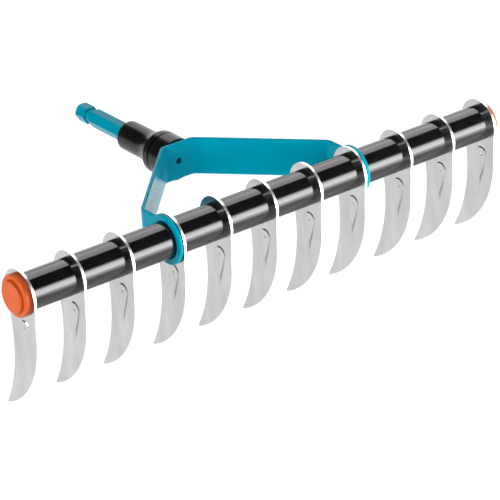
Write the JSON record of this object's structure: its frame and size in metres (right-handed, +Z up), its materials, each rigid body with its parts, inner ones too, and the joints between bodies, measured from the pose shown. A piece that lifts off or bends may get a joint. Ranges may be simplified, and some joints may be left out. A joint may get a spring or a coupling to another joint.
{
  "type": "thatch rake",
  "caption": "Thatch rake head: a row of stamped crescent blades and spacer sleeves on an axle that swings in the eyes of a bent strip yoke, with a collar and a tang for a long handle.",
  "frame": {"origin": "on the handle's axis, at the root of the collar's neck, where a handle's mouth seats", "axes": "+Y points along the handle away from the blades, X runs along the axle, and +Z is up, so the blades hang down from the axle"},
  "size_m": [0.3636, 0.211, 0.0969],
  "materials": {
    "turquoise_paint": "smooth satin powder coat",
    "dark_plastic": "fine grained, matt",
    "plain_steel": "plain zinc plated",
    "zinc_plated_steel": "bright zinc plate",
    "black_plastic": "high gloss",
    "orange_plastic": "semi gloss"
  },
  "bodies": {
    "yoke": {"yoke": "turquoise_paint", "tang": "turquoise_paint", "tang_screw": "turquoise_paint", "handle_collar": "dark_plastic", "collar_base_ring": "dark_plastic"},
    "head": {"axle_bar": "plain_steel", "washer_left": "plain_steel", "washer_right": "plain_steel", "axle_screw_left": "plain_steel", "axle_screw_right": "plain_steel", "end_cap_left": "orange_plastic", "end_cap_right": "orange_plastic", "tine_1": "zinc_plated_steel", "tine_2": "zinc_plated_steel", "tine_3": "zinc_plated_steel", "tine_4": "zinc_plated_steel", "tine_5": "zinc_plated_steel", "tine_6": "zinc_plated_steel", "tine_7": "zinc_plated_steel", "tine_8": "zinc_plated_steel", "tine_9": "zinc_plated_steel", "tine_10": "zinc_plated_steel", "tine_11": "zinc_plated_steel", "sleeve_1": "black_plastic", "sleeve_2": "black_plastic", "sleeve_3": "black_plastic", "sleeve_4": "black_plastic", "sleeve_5": "black_plastic", "sleeve_6": "black_plastic", "sleeve_7": "black_plastic", "sleeve_8": "black_plastic", "sleeve_9": "black_plastic", "sleeve_10": "black_plastic"}
  },
  "joints": [
    {"name": "head_swing", "type": "hinge", "parent": "yoke", "child": "head", "pos_m": [0, -0.12, 0], "axis": [1, 0, 0], "range_deg": [-50, 32]}
  ]
}
